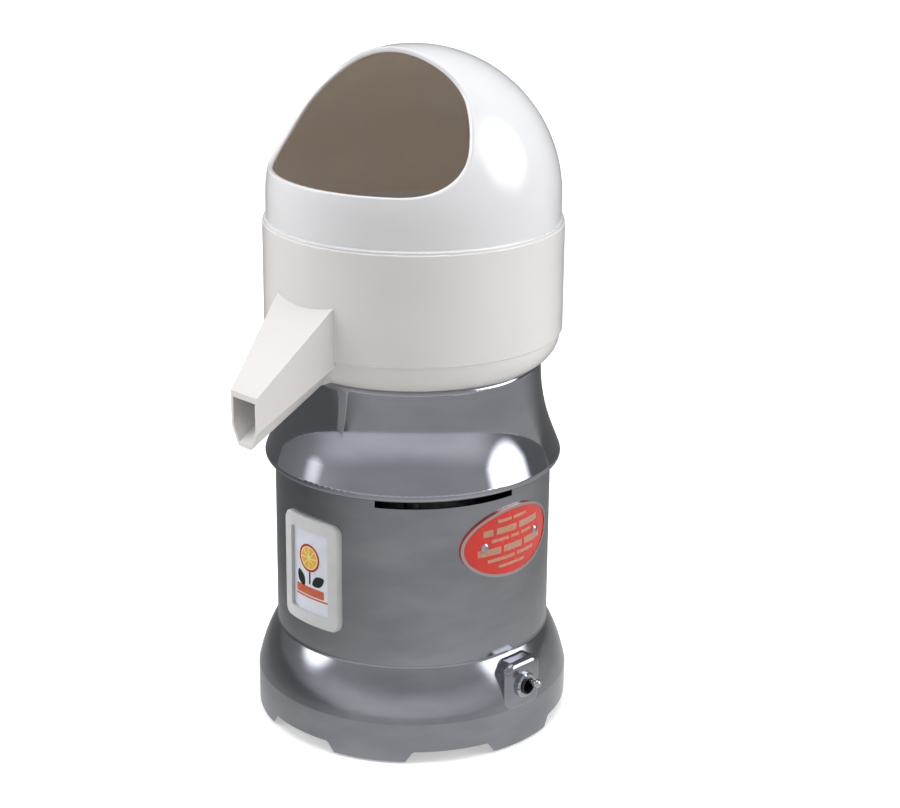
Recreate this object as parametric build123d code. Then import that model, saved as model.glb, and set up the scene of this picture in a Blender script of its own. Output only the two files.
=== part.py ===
# Counter-top citrus press juicer: a motor base of polished steel, a white juice bowl with a spout,
# an oscillating strainer, a ribbed reamer and a domed hood that is open at the front.
# Millimetres. The origin is on the vertical centre line, at the plane that the rubber feet rest on.
# The spout and badge face -Y, the switch and data plate face +X, the cord enters at the back, +Y.
# An azimuth is counted from -Y towards +X, in degrees.

from math import asin, atan, cos, degrees, radians, sin, sqrt
import os

from build123d import *

# ---- base housing ----
body_radius = 96.0            # straight wall of the lower housing
flare_spread = 14.0           # how far the foot stands out from the straight wall
skirt_height = 29.0           # sharp edge where the upright skirt meets the flare
skirt_gap = 1.2               # skirt's lower edge above the counter
flare_height = 36.0           # flare between the skirt and the straight wall
flare_lean = (12.0, 33.0)     # how far the flare leans in at its foot and at its top, in degrees
flare_round = 4.0             # radius in the corner between the flare and the straight wall
steel_wall = 1.6
housing_top = 200.0
vent_drop = 20.0              # air slots' lower edge, under the housing's top
vent_height = 9.0
vent_half_angle = 29.5
vent_count = 3
notch_count = 6
notch_height = 7.3
notch_half_width = 31.5
notch_slope = 5.0             # run of each sloping end of a notch

# ---- upper shroud ----
rim_drop = 13.0               # shroud's lower rim, under the housing's top
rim_overhang = 6.4            # rim's radius beyond the housing wall
neck_inset = 8.0              # neck's radius inside the housing wall, at least
neck_margin = 2.0             # neck's radius inside the bowl's flat bottom, at least
shroud_lean = 0.4             # radius lost for each millimetre of height on the conical part
shroud_bend = 35.0            # radius that joins the cone to the neck
shroud_wall = 2.4
rim_bead = 5.0                # height of the rounded lower rim
deck_rise = 56.0              # flat deck under the bowl, above the housing's top
neck_gap = 0.8                # between the neck's upper edge and the bowl
neck_lip = 4.5                # width of the raised edge round the deck
neck_round = 4.0
collar_radius = 12.0
collar_height = 9.0
seat_height = 4.0             # rubber ring between the deck and the bowl
seat_width = 10.0

# ---- juice bowl ----
bowl_radius = 102.0
bowl_height = 94.0
bowl_wall = 3.5
bowl_floor = 3.5
base_inset = 12.0             # flat bottom's radius is this much less than the bowl's
crease_rise = 20.0            # small step round the outside, above the rounded underside
crease_depth = 1.4
tube_radius = 16.0            # centre tube that the strainer turns on
tube_bore = 9.0
tube_height = 44.0
shoulder_width = 3.5
shoulder_rise = 34.0

# ---- spout: heights are from the bowl's bottom: top, foot of the upright sides, gutter floor ----
spout_length = 49.5           # from the bowl's wall to the mouth
root_half_width = 27.0
mouth_half_width = 13.0
root_gutter_half = 15.0
mouth_gutter_half = 6.2
root_rise = (55.0, 15.0, 0.5)
mouth_rise = (3.0, -20.5, -33.5)
spout_top_wall = 4.0
spout_side_wall = 2.2
spout_floor_wall = 3.0
channel_root_rise = 39.0

# ---- hood ----
hood_step = 2.4               # bowl's rim stands out this far beyond the hood
hood_wall = 4.0
hood_rise = 16.4              # upright wall under the dome
hood_bead_step = 0.8
hood_bead_height = 2.2
hood_skirt = 10.0             # how far the hood reaches into the bowl
hood_skirt_gap = 0.4
lip_rise = 35.6               # front lip above the bowl's rim
lip_corner = (44.0, 50.0)     # lip corner's distance in front of the centre line, and its radius
back_edge = (12.0, 96.0)      # top of the leaning edge: distance in front, and height over the rim
back_round = 40.0

# ---- strainer ----
strainer_gap = 7.5            # between the strainer and the bowl's wall
strainer_ring = 5.0
strainer_depth = 7.0
spoke_count = 8
spoke_width = 5.0
spoke_depth = 4.0
screen_thickness = 1.2
slots_per_row = 36
slot_length = 11.0
slot_width = 1.8
hub_wall = 6.0
drive_block_half = 9.0        # half the length of the block that the pin drives
drive_block_width = 20.0

# ---- reamer and slinger ----
slinger_radius = 24.0
slinger_height = 4.0
reamer_radius = 37.0
reamer_height = 49.0
rib_count = 10
rib_stand = 3.6
rib_width = 3.4
insert_radius = 9.5
insert_height = 30.0
shaft_engagement = 25.0       # shaft's length inside the insert

# ---- drive ----
shaft_radius = 6.35
shaft_flat = 5.0              # half the width across the flats at the shaft's end
shaft_collar = 1.65           # clearance of covers and seat of the seal round the shaft
throw = 2.0                   # offset of the eccentric
eccentric_radius = 11.0
lever_rise = 8.0              # lever above the mounting plate
lever_thickness = 6.0
pivot_offset = 62.0           # pivot's distance behind the shaft
pin_offset = 45.0             # drive pin's distance in front of the shaft
pin_radius = 3.0
post_radius = 5.0
bush_wall = 2.5
lever_play = 0.3              # left over when the eccentric and the lever are at their limits

# ---- motor ----
stator_radius = 68.0
stator_bore = 40.0
stator_height = 56.0
motor_drop = 104.0            # stator's lower face, under the mounting plate
air_gap = 0.6
stator_slots = 24
bell_height = 20.0
ear_height = 4.0
bearing_radius = 15.0
bearing_height = 9.0
bolt_radius = 2.5
spacer_radius = 5.0
fan_radius = 60.0
fan_rise = 5.0                # fan above the upper end bell
fan_height = 15.0
fan_blades = 12
plate_thickness = 3.0         # motor mounting plate on the housing's flange
plate_opening = 20.0

# ---- underside ----
foot_height = 9.0
foot_radius = 9.0
base_plate_thickness = 2.0
foot_azimuths = (30.0, 150.0, 210.0, 330.0)
capacitor_radius = 18.0
capacitor_length = 66.0
capacitor_place = (-38.0, 18.0)
terminal_place = (35.0, -52.0)

# ---- badge, data plate, switch, cord inlet ----
badge_width = 53.5
badge_height = 78.0
badge_low = 84.5
badge_stand = 3.4
badge_window = (36.5, 60.0)
badge_corner = 7.0
data_plate_size = (83.0, 50.0)
data_plate_height = 148.0
data_plate_thickness = 1.2
data_screw_offset = 24.3
boss_stand = 0.6              # flat face of the switch boss beyond the skirt
boss_width = 33.0
boss_height = 36.0
boss_centre = 44.5
boss_corner = 8.0
boss_round = 4.5
switch_bush_radius = 6.0
switch_nut_radius = 9.0
toggle_length = 21.5          # pivot to tip
toggle_depth = 6.5            # pivot behind the boss's face
toggle_tilt = 15.0
inlet_height = 84.0
inlet_bore = 4.0
inlet_flange = 10.0

# ---- screws ----
screw_radius = 1.7
screw_head = 3.6
rod_radius = 2.5
rod_head = 4.4

running_gap = 0.05            # radial play of a running fit
slide_gap = 0.2               # play of sliding and lifting pieces
hole_gap = 0.1                # radial play of a bolt or screw in its hole

upright = (Align.CENTER, Align.CENTER, Align.MIN)


# ---- helpers ----
def place(radius, azimuth, height=0.0):
    angle = radians(azimuth)
    return Pos(radius * sin(angle), -radius * cos(angle), height)


def spread(count, start=0.0):
    return [start + 360.0 / count * index for index in range(count)]


def post(radius, low, high):
    return Pos(0, 0, low) * Cylinder(radius, high - low, align=upright)


def ring(outer, inner, low, high):
    return post(outer, low, high) - post(inner, low - 1, high + 1)


def lathe(curve):
    return revolve(Plane.XZ * make_face(curve), Axis.Z)


def sector(inner, outer, low, high, middle, half_angle):
    """A piece of a ring, centred on an azimuth."""
    section = Pos((inner + outer) / 2, (low + high) / 2) * Rectangle(outer - inner, high - low)
    band = revolve(Plane.XZ * section, Axis.Z, revolution_arc=2 * half_angle)
    return Rot(0, 0, middle - half_angle - 90) * band


def block(inner, outer, width, low, high, azimuth):
    """A radial block from one radius to another."""
    body = Box(width, outer - inner, high - low, align=(Align.CENTER, Align.MAX, Align.MIN))
    return Rot(0, 0, azimuth) * (Pos(0, -inner, low) * body)


def around(radius, azimuths, piece):
    return [place(radius, azimuth) * piece for azimuth in azimuths]


def double_d(flat, radius, low, high):
    return post(radius, low, high) & Pos(0, 0, low) * Box(4 * radius, 2 * flat, high - low, align=upright)


# ---- places that several pieces share ----
skirt_radius = body_radius + flare_spread
wall_line = body_radius - steel_wall
vent_low = housing_top - vent_drop
shroud_rim_height = housing_top - rim_drop
shroud_rim_radius = body_radius + rim_overhang
shroud_neck_radius = min(body_radius - neck_inset, bowl_radius - base_inset - neck_margin)
deck_height = housing_top + deck_rise
tie_rod_circle = shroud_neck_radius - 10
seat_outer = tie_rod_circle - 6

base_plate_low = foot_height
base_plate_top = base_plate_low + base_plate_thickness
foot_circle = skirt_radius - 12

plate_low = housing_top
plate_top = plate_low + plate_thickness
plate_radius = body_radius - 2.5
plate_screw_circle = body_radius - 11
bolt_circle = stator_radius + 8
flange_inner_radius = bolt_circle + spacer_radius + 1.5
stator_low = plate_low - motor_drop
stator_top = stator_low + stator_height
stator_middle = stator_low + stator_height / 2
bell_top = stator_top + bell_height
fan_low = bell_top + fan_rise
shaft_bottom = stator_low - bell_height - 2

bowl_bottom = deck_height + seat_height
bowl_top = bowl_bottom + bowl_height
bowl_base_radius = bowl_radius - base_inset
bowl_inner = bowl_radius - bowl_wall
crease_height = bowl_bottom + crease_rise
neck_top = bowl_bottom - neck_gap
tube_top = bowl_bottom + tube_height
shoulder_height = bowl_bottom + shoulder_rise
shoulder_radius = tube_radius + shoulder_width
spout_reach = bowl_radius + spout_length
root_distance = sqrt(bowl_radius ** 2 - root_half_width ** 2)
root_levels = [bowl_bottom + rise for rise in root_rise]
mouth_levels = [bowl_bottom + rise for rise in mouth_rise]
hood_radius = bowl_radius - hood_step

lever_low = plate_top + lever_rise
lever_top = lever_low + lever_thickness
pin_arm = pivot_offset + pin_offset
pin_travel = throw * pin_arm / pivot_offset
pin_well_bore = pin_radius + pin_travel + 1.5
pin_well_top = shoulder_height + 3.0

strainer_radius = bowl_inner - strainer_gap
strainer_inner = strainer_radius - strainer_ring
strainer_low = shoulder_height + slide_gap
strainer_ring_low = pin_well_top + 1.5
screen_low = strainer_ring_low + spoke_depth
strainer_top = strainer_ring_low + strainer_depth
drive_block_top = screen_low + screen_thickness + 5.0
hub_outer = tube_radius + hub_wall

slinger_low = max(tube_top, screen_low) + 1.0
slinger_top = slinger_low + slinger_height
insert_low = slinger_top + slide_gap
reamer_low = max(slinger_top, drive_block_top) + 2.0
reamer_top = reamer_low + reamer_height
shaft_top = insert_low + shaft_engagement

bolt_azimuths = spread(4, 45)
vent_azimuths = spread(vent_count, 60)
plate_screw_azimuths = spread(3)
tie_rod_azimuths = spread(3, 85)
data_plate_radius = body_radius + data_plate_thickness
data_screw_angle = degrees(asin(data_screw_offset / data_plate_radius))
boss_face = skirt_radius + boss_stand


# ---- housing ----
def housing_solid(inset, low, high):
    """The lower housing's outline as a solid, with every radius smaller by inset."""
    skirt = skirt_radius - inset
    body = body_radius - inset
    flare_top = skirt_height + flare_height
    foot_lean, top_lean = [radians(lean) for lean in flare_lean]
    outline = Polyline((0, high), (0, low), (skirt, low), (skirt, skirt_height))
    outline += Spline((skirt, skirt_height), (body, flare_top),
                      tangents=[(-sin(foot_lean), cos(foot_lean)), (-sin(top_lean), cos(top_lean))])
    outline += Polyline((body, flare_top), (body, high), (0, high))
    body_solid = lathe(outline)
    corner = [edge for edge in body_solid.edges() if abs(edge.center().Z - flare_top) < 0.01]
    return fillet(corner, flare_round)


def boss_prism(inset):
    face = RectangleRounded(boss_width - 2 * inset, boss_height - 2 * inset, boss_corner - inset)
    start = body_radius - 20
    return Plane.YZ.offset(start) * Pos(0, boss_centre) * extrude(face, boss_face - inset - start)


def skirt_notch(azimuth):
    top = skirt_gap + notch_height
    side = notch_half_width
    outline = FilletPolyline((-side - notch_slope, -5), (-side, skirt_gap), (-side + notch_slope, top),
                             (side - notch_slope, top), (side, skirt_gap), (side + notch_slope, -5),
                             radius=2.5, close=True)
    cutter = extrude(Plane.XZ.offset(skirt_radius - 20) * make_face(outline), 30)
    return Rot(0, 0, azimuth) * cutter


def lower_housing():
    outer = housing_solid(0, skirt_gap, housing_top)
    boss = boss_prism(0)
    boss = fillet(boss.faces().sort_by(Axis.X)[-1].edges(), boss_round)
    shell = outer + boss
    shell -= housing_solid(steel_wall, skirt_gap - 1, housing_top - steel_wall)
    shell -= boss_prism(steel_wall)
    shell -= post(flange_inner_radius, housing_top - 10, housing_top + 10)
    for azimuth in foot_azimuths:
        shell += block(foot_circle - 7, skirt_radius, 13, base_plate_top, base_plate_top + 12, azimuth) & outer
    for azimuth in plate_screw_azimuths:
        shell += block(plate_screw_circle - 5, body_radius, 11, housing_top - 13, housing_top, azimuth) & outer
    for azimuth in vent_azimuths:
        shell -= sector(body_radius - 8, body_radius + 8, vent_low, vent_low + vent_height, azimuth, vent_half_angle)
    for azimuth in spread(notch_count):
        shell -= skirt_notch(azimuth)
    shell -= around(foot_circle, foot_azimuths, post(screw_radius + hole_gap, 0, base_plate_top + 10))
    screw_hole = post(screw_radius + hole_gap, housing_top - 11, housing_top + 5)
    shell -= around(plate_screw_circle, plate_screw_azimuths, screw_hole)
    for side in (-data_screw_angle, data_screw_angle):
        shell -= data_screw_axis(side) * Cylinder(1.3, 12)
    shell -= Pos(boss_face, 0, boss_centre) * Rot(0, 90, 0) * Cylinder(switch_bush_radius + hole_gap, 12)
    shell -= Pos(0, body_radius, inlet_height) * Rot(90, 0, 0) * Cylinder(inlet_bore + 2.5, 12)
    return shell


# ---- shroud ----
def shroud_outline(inset, low, high):
    """The shroud's outline as a solid, with every radius smaller by inset."""
    rim = shroud_rim_radius - inset
    neck = shroud_neck_radius - inset
    cone_low = shroud_rim_height + rim_bead
    cone_high = cone_low + (shroud_rim_radius - shroud_neck_radius) / shroud_lean
    outline = FilletPolyline((rim, cone_low), (neck, cone_high), (neck, high), radius=shroud_bend)
    outline += Polyline((neck, high), (0, high), (0, low), (rim - 1.2, low))
    outline += ThreePointArc((rim - 1.2, low), (rim + 0.4, (low + cone_low) / 2), (rim, cone_low))
    return lathe(outline)


def upper_shroud():
    outer = shroud_outline(0, shroud_rim_height, neck_top)
    outer = fillet(outer.edges().group_by(Axis.Z)[-1], neck_round)
    shell = outer - shroud_outline(shroud_wall, shroud_rim_height - 1, deck_height - shroud_wall)
    ledge = ring(shroud_rim_radius, plate_radius - 3, plate_top, plate_top + 3)
    shell += ledge & outer
    shell -= post(shroud_neck_radius - neck_lip, deck_height, neck_top + 1)
    shell += post(collar_radius, deck_height - shroud_wall, deck_height + collar_height)
    shell -= post(shaft_radius + shaft_collar, deck_height - 10, deck_height + 20)
    shell -= place(pin_offset, 0) * post(pin_well_bore + 0.5, deck_height - 10, deck_height + 5)
    rod_hole = post(rod_radius + hole_gap, deck_height - 10, deck_height + 5)
    shell -= around(tie_rod_circle, tie_rod_azimuths, rod_hole)
    return shell


# ---- underside ----
def base_plate():
    plate = post(skirt_radius - steel_wall - 0.6, base_plate_low, base_plate_top)
    plate -= around(foot_circle, foot_azimuths, post(screw_radius + 2 * hole_gap, 0, 30))
    for azimuth in spread(12, 15):
        slot = place(62, azimuth) * Rot(0, 0, azimuth) * extrude(SlotOverall(22, 5, rotation=90), 30)
        plate -= slot
    return plate


def rubber_feet():
    foot = Cone(foot_radius - 1.2, foot_radius, foot_height, align=upright)
    foot -= post(screw_head + 4 * hole_gap, -1, foot_height - 4)
    foot -= post(screw_radius + 2 * hole_gap, 0, foot_height + 1)
    return around(foot_circle, foot_azimuths, foot)


def base_plate_screws():
    seat = foot_height - 4
    screw = post(screw_head, seat - 2.4, seat) + post(screw_radius, seat, base_plate_top + 9)
    screw -= Pos(0, 0, seat - 2.4) * Box(5, 0.9, 2)
    return around(foot_circle, foot_azimuths, screw)


# ---- mounting plate and what stands on it ----
def motor_mount_plate():
    plate = post(plate_radius, plate_low, plate_top)
    plate += around(tie_rod_circle, tie_rod_azimuths, post(rod_radius + 2.5, plate_top, plate_top + 8))
    through = plate_low - 1
    plate -= post(plate_opening, through, plate_top + 1)
    plate -= around(tie_rod_circle, tie_rod_azimuths, post(rod_radius + hole_gap, through, plate_top + 10))
    plate -= around(bolt_circle, bolt_azimuths, post(bolt_radius + hole_gap, through, plate_top + 1))
    plate -= around(plate_screw_circle, plate_screw_azimuths, post(screw_radius + hole_gap, through, plate_top + 1))
    plate -= place(pivot_offset, 180) * post(post_radius - 1.9, through, plate_top + 1)
    air_slot = Pos(0, 0, through) * extrude(SlotOverall(24, 8, rotation=90), plate_thickness + 2)
    for azimuth in (80, 100, 260, 280):
        plate -= place(48, azimuth) * Rot(0, 0, azimuth) * air_slot
    return plate


def mount_plate_screws():
    screw = post(screw_head, plate_top, plate_top + 2.4) + post(screw_radius, housing_top - 10, plate_top)
    screw -= Pos(0, 0, plate_top + 2.4) * Box(5, 0.9, 2)
    return around(plate_screw_circle, plate_screw_azimuths, screw)


def tie_rods():
    rod = post(rod_head, deck_height, deck_height + 2.8) + post(rod_radius, plate_low + 0.5, deck_height)
    rod -= Pos(0, 0, deck_height + 2.8) * Box(6, 1.0, 2.4)
    return around(tie_rod_circle, tie_rod_azimuths, rod)


def lever_pivot_post():
    body = post(post_radius - 2, plate_low, plate_top) + post(post_radius + 3, plate_top, lever_low - 2)
    body += post(post_radius, lever_low - 2, lever_top + 4)
    body += post(post_radius + bush_wall, lever_top + 2.5, lever_top + 4)
    return place(pivot_offset, 180) * body


# ---- bowl support ----
def bowl_seat_ring():
    body = ring(seat_outer, seat_outer - seat_width, deck_height, bowl_bottom)
    middle = seat_outer - seat_width / 2
    return body - ring(middle + 1, middle - 1, bowl_bottom - 1.2, bowl_bottom + 1)


def shaft_seal():
    low = deck_height + 1.0
    body = ring(shaft_radius + shaft_collar, shaft_radius + running_gap, low, low + 6)
    return body - ring(shaft_radius + shaft_collar - 0.45, shaft_radius + 0.5, low + 4.6, low + 7)


# ---- badge and data plate ----
def wrapped(face, low_radius, high_radius):
    """A flat outline on -Y, pressed on to the round wall between two radii."""
    prism = extrude(Plane.XZ.offset(body_radius - 30) * face, 50)
    return prism & ring(high_radius, low_radius, 0, housing_top)


def badge_face(width, height, corner):
    return Pos(0, badge_low + badge_height / 2) * RectangleRounded(width, height, corner)


def badge_frame():
    inner = badge_face(*badge_window, 2.5)
    step = badge_face(badge_window[0] + 4, badge_window[1] + 4, 3.5)
    body = wrapped(badge_face(badge_width, badge_height, badge_corner), body_radius, body_radius + badge_stand)
    body = chamfer(body.faces().sort_by(lambda face: face.center().Y)[0].edges(), 1.1)
    body -= wrapped(inner, body_radius - 1, body_radius + badge_stand + 1)
    return body - wrapped(step, body_radius - 1, body_radius + 1.2)


def badge_panel():
    size = (badge_window[0] + 3.6, badge_window[1] + 3.6)
    return wrapped(badge_face(*size, 3.3), body_radius, body_radius + 1.1)


def data_plate():
    length, height = data_plate_size
    centre = Pos(0, data_plate_height)
    body = wrapped(centre * Ellipse(length / 2, height / 2), body_radius, data_plate_radius)
    rim = Ellipse(length / 2, height / 2) - Ellipse(length / 2 - 2, height / 2 - 2)
    body += wrapped(centre * rim, body_radius, data_plate_radius + 0.5)
    body = Rot(0, 0, 90) * body
    for side in (-data_screw_angle, data_screw_angle):
        body -= data_screw_axis(side) * Cylinder(1.4, 12)
    return body


def data_screw_axis(side):
    """Place on the data plate's centre height, with +Z outwards."""
    return place(data_plate_radius, 90 + side, data_plate_height) * Rot(0, 0, side) * Rot(0, 90, 0)


def data_plate_screws():
    dome = Sphere(4.0) & Pos(0, 0, 2.6) * Box(10, 10, 4, align=upright)
    screw = Pos(0, 0, -2.4) * dome + Pos(0, 0, -4.2) * Cylinder(1.25, 4.5, align=upright)
    screw -= Pos(0, 0, 1.5) * Box(6, 0.6, 1.2)
    return [data_screw_axis(side) * screw for side in (-data_screw_angle, data_screw_angle)]


# ---- switch ----
def on_boss(height=0.0):
    """Place on the switch boss's face, with +Z outwards."""
    return Pos(boss_face + height, 0, boss_centre) * Rot(0, 90, 0)


def switch_body():
    case = Box(22, 14, 17, align=(Align.CENTER, Align.CENTER, Align.MAX))
    body = Pos(0, 0, -steel_wall) * case
    body += Pos(0, 0, -steel_wall - 2) * Cylinder(switch_bush_radius, steel_wall + 6, align=upright)
    body -= Pos(0, 0, -12) * Cylinder(switch_bush_radius - 1.0, 20, align=upright)
    for side in (-7, 0, 7):
        body += Pos(side, 0, -steel_wall - 17) * Box(1.0, 5, 6, align=(Align.CENTER, Align.CENTER, Align.MAX))
    return on_boss() * body


def switch_nut():
    nut = Cylinder(switch_nut_radius, 2.8, align=upright)
    nut = chamfer(nut.edges().group_by(Axis.Z)[-1], 1.0)
    nut -= Cylinder(switch_bush_radius, 10)
    for angle in spread(4):
        nut -= Rot(0, 0, angle) * Pos(switch_nut_radius, 0, 2.8) * Box(2.4, 1.6, 2)
    return on_boss() * nut


def switch_lever():
    stem = 1.6
    bat = 3.2
    outline = Polyline((0, -2.2), (stem, -2.2), (stem, 9))
    outline += Spline((stem, 9), (stem + 0.4, 13), (bat, toggle_length - bat), tangents=[(0, 1), (0.05, 1)])
    outline += ThreePointArc((bat, toggle_length - bat), (bat * sqrt(0.5), toggle_length - bat * (1 - sqrt(0.5))),
                             (0, toggle_length))
    outline += Line((0, toggle_length), (0, -2.2))
    body = lathe(outline)
    return on_boss(-toggle_depth) * Rot(0, -toggle_tilt, 0) * body


# ---- cord inlet, terminals, capacitor ----
def cord_inlet_bush():
    side = Cylinder(inlet_bore + 2.4, 14) + Pos(0, 0, 2) * Cylinder(inlet_flange, 5.5, align=upright)
    side += Pos(0, 0, -7) * Cylinder(inlet_bore + 4, 4, align=upright)
    body = Pos(0, body_radius, inlet_height) * Rot(-90, 0, 0) * side
    body -= ring(body_radius, wall_line, inlet_height - 20, inlet_height + 20)
    body += Pos(0, body_radius, inlet_height) * Rot(-90, 0, 0) * Cylinder(inlet_bore + 2.4, 14)
    return body - Pos(0, body_radius, inlet_height) * Rot(90, 0, 0) * Cylinder(inlet_bore, 40)


def terminal_block():
    body = Box(46, 18, 9, align=upright) + Box(46, 8, 15, align=upright)
    for index in range(5):
        x = (index - 2) * 9
        body -= Pos(x, 0, 15) * Cylinder(2.0, 8)
        body -= Pos(x, 0, 6) * Rot(90, 0, 0) * Cylinder(1.8, 40)
    x, y = terminal_place
    return Pos(x, y, base_plate_top) * body


def capacitor():
    body = Cylinder(capacitor_radius, capacitor_length)
    body = fillet(body.edges(), 2.0)
    body += Pos(0, 5, capacitor_length / 2) * Box(6, 1, 14) + Pos(0, -5, capacitor_length / 2) * Box(6, 1, 14)
    x, y = capacitor_place
    return Pos(x, y, base_plate_top + capacitor_radius) * Rot(90, 0, 0) * body


def capacitor_strap():
    width = 12.0
    sheet = 1.2
    outer = capacitor_radius + sheet
    tab = 11.0
    band = Circle(outer) + Pos(0, -capacitor_radius / 2) * Rectangle(2 * outer, capacitor_radius)
    band -= Circle(capacitor_radius) + Pos(0, -capacitor_radius) * Rectangle(2 * capacitor_radius, 2 * capacitor_radius)
    band &= Pos(0, capacitor_radius) * Rectangle(2 * outer, 4 * capacitor_radius)
    for side in (-1, 1):
        band += Pos(side * (outer + tab / 2 - 0.2), -capacitor_radius + sheet / 2) * Rectangle(tab + 0.4, sheet)
    x, y = capacitor_place
    strap = extrude(Plane.XZ * band, width / 2, both=True)
    return Pos(x, y, base_plate_top + capacitor_radius) * strap


# ---- motor ----
def stator_core():
    body = ring(stator_radius, stator_bore, stator_low, stator_top)
    slots = []
    for azimuth in spread(stator_slots):
        slots.append(block(stator_bore + 2, stator_bore + 16, 5, stator_low - 1, stator_top + 1, azimuth))
        slots.append(block(stator_bore - 2, stator_bore + 4, 2, stator_low - 1, stator_top + 1, azimuth))
    for azimuth in bolt_azimuths:
        slots.append(block(stator_radius - 1.5, stator_radius + 4, 9, stator_low - 1, stator_top + 1, azimuth))
    return body - slots


def stator_windings():
    """The end turns above and below the core, as two rounded rings."""
    body = ring(stator_radius - 6, stator_bore + 6, stator_top, stator_top + 11)
    upper = fillet(body.edges().group_by(Axis.Z)[-1], 3.5)
    return [upper, mirror(upper, Plane.XY.offset(stator_middle))]


def upper_bell():
    base = stator_top
    wall = 3.0
    hub = bearing_radius + 3
    seat = bell_height - 2
    shoulder = stator_radius - 8
    opening = shaft_radius + shaft_collar
    points = [(stator_radius + 2, 0), (stator_radius + 2, 9), (shoulder, bell_height), (opening, bell_height),
              (opening, seat), (bearing_radius, seat), (bearing_radius, seat - bearing_height),
              (hub, seat - bearing_height), (hub, bell_height - wall), (shoulder - 1.5, bell_height - wall),
              (stator_radius - 1, 8), (stator_radius - 1, 0)]
    body = lathe(Polyline([(radius, base + height) for radius, height in points], close=True))
    for azimuth in bolt_azimuths:
        body += block(stator_radius, bolt_circle, 10, base, base + ear_height, azimuth)
        body += place(bolt_circle, azimuth) * post(6, base, base + ear_height)
    body -= around(bolt_circle, bolt_azimuths, post(bolt_radius + hole_gap, base - 1, base + 9))
    return body - around((hub + shoulder) / 2, spread(6, 30), post(8, base + 5, bell_top + 1))


def lower_bell():
    return mirror(upper_bell(), Plane.XY.offset(stator_middle))


def motor_bolts():
    low = stator_low - ear_height
    bolt = post(4.4, low - 3.5, low) + post(bolt_radius, low, plate_top + 4)
    nut = extrude(RegularPolygon(4.6, 6), 4)
    bolt += Pos(0, 0, plate_top) * nut
    return around(bolt_circle, bolt_azimuths, bolt)


def motor_spacers():
    spacer = ring(spacer_radius, bolt_radius + hole_gap, stator_top + ear_height, plate_low)
    return around(bolt_circle, bolt_azimuths, spacer)


def bearing(low):
    body = ring(bearing_radius, shaft_radius + running_gap, low, low + bearing_height)
    for face in (low + bearing_height, low):
        body -= ring(bearing_radius - 2.2, shaft_radius + 2.2, face - 0.6, face + 0.6)
    return body


def upper_bearing():
    return bearing(bell_top - 2 - bearing_height)


def lower_bearing():
    return bearing(stator_low - bell_height + 2)


# ---- rotor ----
def motor_shaft():
    body = post(shaft_radius, shaft_bottom, slinger_low)
    body += double_d(shaft_flat, shaft_radius, slinger_low, shaft_top)
    return chamfer(body.edges().group_by(Axis.Z)[-1], 0.6)


def rotor_core():
    body = ring(stator_bore - air_gap, shaft_radius, stator_low, stator_top)
    body += ring(stator_bore - 4, stator_bore - 10, stator_low - 5, stator_top + 5)
    return body


def cooling_fan():
    hub = shaft_radius + 7.5
    root = hub + 12
    body = ring(hub, shaft_radius, fan_low - 3, fan_low + fan_height) + ring(fan_radius, hub, fan_low, fan_low + 1.6)
    blade = block(0, fan_radius - root + 3, 1.6, fan_low + 0.8, fan_low + fan_height - 1, 0)
    inside = post(fan_radius, fan_low, fan_low + fan_height)
    for azimuth in spread(fan_blades):
        body += (place(root, azimuth) * Rot(0, 0, azimuth + 22) * blade) & inside
    return body


def drive_eccentric():
    body = post(shaft_radius + 3.6, plate_top + 1.5, lever_low - 1)
    body += Pos(throw, 0, 0) * post(eccentric_radius, lever_low - 1, lever_top + 1)
    body -= post(shaft_radius, plate_top, lever_top + 5)
    return body - Pos(0, -shaft_radius - 2, plate_top + 4) * Rot(90, 0, 0) * Cylinder(1.2, 8)


# ---- oscillating lever ----
def link(start, start_radius, end, end_radius, low, high):
    """A flat link between two round ends on the Y axis, with tangent sides."""
    lean = asin((start_radius - end_radius) / abs(end - start))
    way = 1 if end > start else -1
    points = []
    for centre, radius in ((start, start_radius), (end, end_radius)):
        points.append((radius * cos(lean), centre + way * radius * sin(lean)))
    corners = points + [(-x, y) for x, y in reversed(points)]
    body = Pos(0, 0, low) * extrude(make_face(Polyline(corners, close=True)), high - low)
    body += Pos(0, start, 0) * post(start_radius, low, high)
    return body + Pos(0, end, 0) * post(end_radius, low, high)


def oscillator_lever():
    half_gap = eccentric_radius + 2 * throw + lever_play
    eye = half_gap + 8.7
    body = link(0, eye, pivot_offset, post_radius + bush_wall + 3.5, lever_low, lever_top)
    body += link(0, eye, -pin_offset, pin_radius + 6, lever_low, lever_top)
    slot = SlotOverall(2 * half_gap + 5, 2 * half_gap, rotation=90)
    body -= Pos(0, 0, lever_low - 1) * extrude(slot, lever_thickness + 2)
    body -= place(pivot_offset, 180) * post(post_radius + bush_wall, lever_low - 1, lever_top + 1)
    return body - place(pin_offset, 0) * post(pin_radius, lever_low - 1, lever_top + 1)


def lever_bush():
    body = ring(post_radius + bush_wall, post_radius + running_gap, lever_low - 1.5, lever_top + 1.5)
    return place(pivot_offset, 180) * body


def oscillator_pin():
    body = post(pin_radius, lever_low, drive_block_top - 3.0) + post(pin_radius + 3, lever_top, lever_top + 3)
    body = chamfer(body.edges().group_by(Axis.Z)[-1], 0.8)
    return place(pin_offset, 0) * body


# ---- bowl ----
def bowl_solid(inset, low, high, crease):
    """The bowl's outline as a solid, inset from the outside by a wall."""
    side = bowl_radius - inset
    under = side - crease
    base = bowl_base_radius - inset
    corners = [(base, low), (0, low), (0, high), (side, high), (side, crease_height)]
    if crease:
        corners.append((under, crease_height - crease))
    outline = Polyline(*corners)
    outline += TangentArc((under, crease_height - crease), (base, low), tangent=(0, -1))
    return lathe(outline)


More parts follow.
